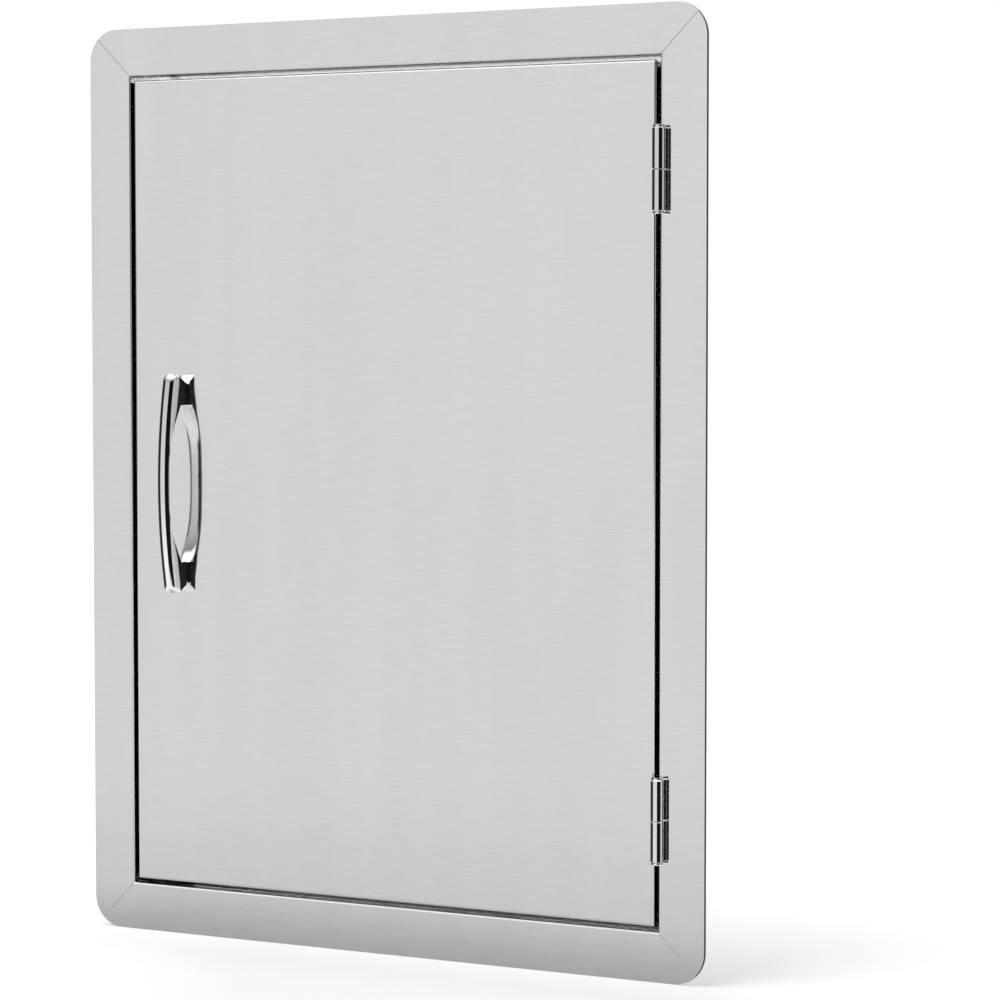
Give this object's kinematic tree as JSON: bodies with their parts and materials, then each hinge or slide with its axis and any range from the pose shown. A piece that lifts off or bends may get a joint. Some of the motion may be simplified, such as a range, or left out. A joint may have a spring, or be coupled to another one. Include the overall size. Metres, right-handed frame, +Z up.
{
  "type": "outdoor kitchen access door",
  "caption": "Upright stainless access door in a mitred flange frame, hinged on the right, with a bow handle and magnetic catches.",
  "frame": {"origin": "centre of the wall's cut-out, in the plane of the wall that the frame's flange lies against", "axes": "+X right and +Z up as seen from the front, +Y into the wall; the door's face looks along -Y"},
  "size_m": [0.4572, 0.0681, 0.6096],
  "materials": {
    "frame_steel": "fine horizontal brushing, stainless",
    "door_steel": "fine horizontal brushing, stainless",
    "inner_steel": "plain mill finish, hidden inside the door",
    "handle_chrome": "polished",
    "hinge_steel": "polished stainless",
    "washer_nylon": "natural",
    "fastener_steel": "bright zinc",
    "catch_plastic": "satin white moulding",
    "magnet_ferrite": "dark sintered ferrite",
    "pole_steel": "zinc plated",
    "bumper_rubber": "matt black"
  },
  "bodies": {
    "frame": {"top_rail": "frame_steel", "bottom_rail": "frame_steel", "left_stile": "frame_steel", "right_stile": "frame_steel", "upper_hinge_frame_leaf": "hinge_steel", "lower_hinge_frame_leaf": "hinge_steel", "upper_hinge_washer": "washer_nylon", "lower_hinge_washer": "washer_nylon", "upper_hinge_pin": "hinge_steel", "lower_hinge_pin": "hinge_steel", "upper_catch_housing": "catch_plastic", "lower_catch_housing": "catch_plastic", "upper_catch_magnet": "magnet_ferrite", "lower_catch_magnet": "magnet_ferrite", "upper_catch_poles": "pole_steel", "lower_catch_poles": "pole_steel", "catch_screws": "fastener_steel", "door_bumpers": "bumper_rubber"},
    "door": {"door_skin": "door_steel", "door_liner": "door_steel", "door_brace": "inner_steel", "upper_hinge_door_leaf": "hinge_steel", "lower_hinge_door_leaf": "hinge_steel", "handle": "handle_chrome", "handle_backing_plate": "inner_steel", "handle_screws": "fastener_steel", "upper_strike_plate": "pole_steel", "lower_strike_plate": "pole_steel"}
  },
  "joints": [
    {"name": "door_hinge", "type": "hinge", "parent": "frame", "child": "door", "pos_m": [0.1979, -0.0065, 0], "axis": [0, 0, 1], "range_deg": [0, 170]}
  ]
}
